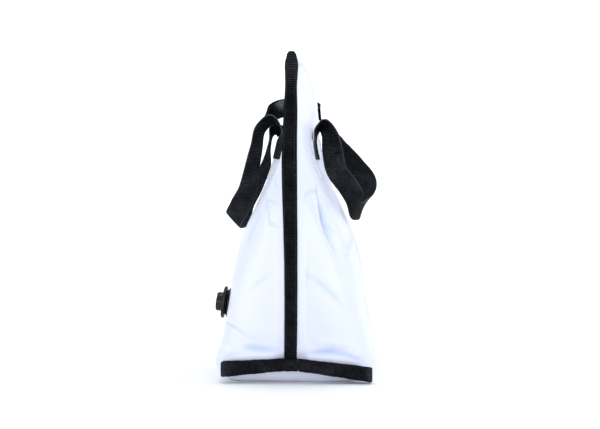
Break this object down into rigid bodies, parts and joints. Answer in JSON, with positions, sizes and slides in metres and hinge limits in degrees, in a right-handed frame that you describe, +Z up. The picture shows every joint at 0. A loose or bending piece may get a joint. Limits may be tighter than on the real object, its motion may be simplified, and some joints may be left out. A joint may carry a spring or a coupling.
{
  "type": "fish keeper bag",
  "caption": "Soft padded white fish bag of tent section with flat base, bound end seams, top zip, webbing carry handles, end loop and a screw drain.",
  "frame": {"origin": "middle of the flat base, on the floor", "axes": "+X to the right seen from the near end, +Y along the bag from the near end to the far end, +Z up"},
  "size_m": [0.2847, 0.9612, 0.5448],
  "materials": {
    "white_sheet": "coated sheet, satin",
    "patch": "coated sheet, satin",
    "binding": "ribbed webbing, matte",
    "strap": "ribbed webbing, matte",
    "zip": "woven tape with moulded teeth",
    "plastic": "moulded, glossy"
  },
  "bodies": {
    "bag": {"bag_body": "white_sheet", "end_binding_near": "binding", "end_binding_far": "binding", "base_binding_near": "binding", "base_binding_far": "binding", "zip": "zip", "zip_slider": "plastic", "handle_left": "strap", "handle_right": "strap", "end_loop": "strap", "handle_patch_left_near": "patch", "handle_patch_left_far": "patch", "handle_patch_right_near": "patch", "handle_patch_right_far": "patch", "drain_base": "plastic", "drain_collar": "plastic"},
    "cap": {"drain_cap": "plastic"}
  },
  "joints": [
    {"name": "drain_cap_turn", "type": "hinge", "parent": "bag", "child": "cap", "pos_m": [-0.12127, -0.23, 0.12559], "axis": [-0.9914, 0, 0.1305], "range_deg": [0, 450]}
  ]
}
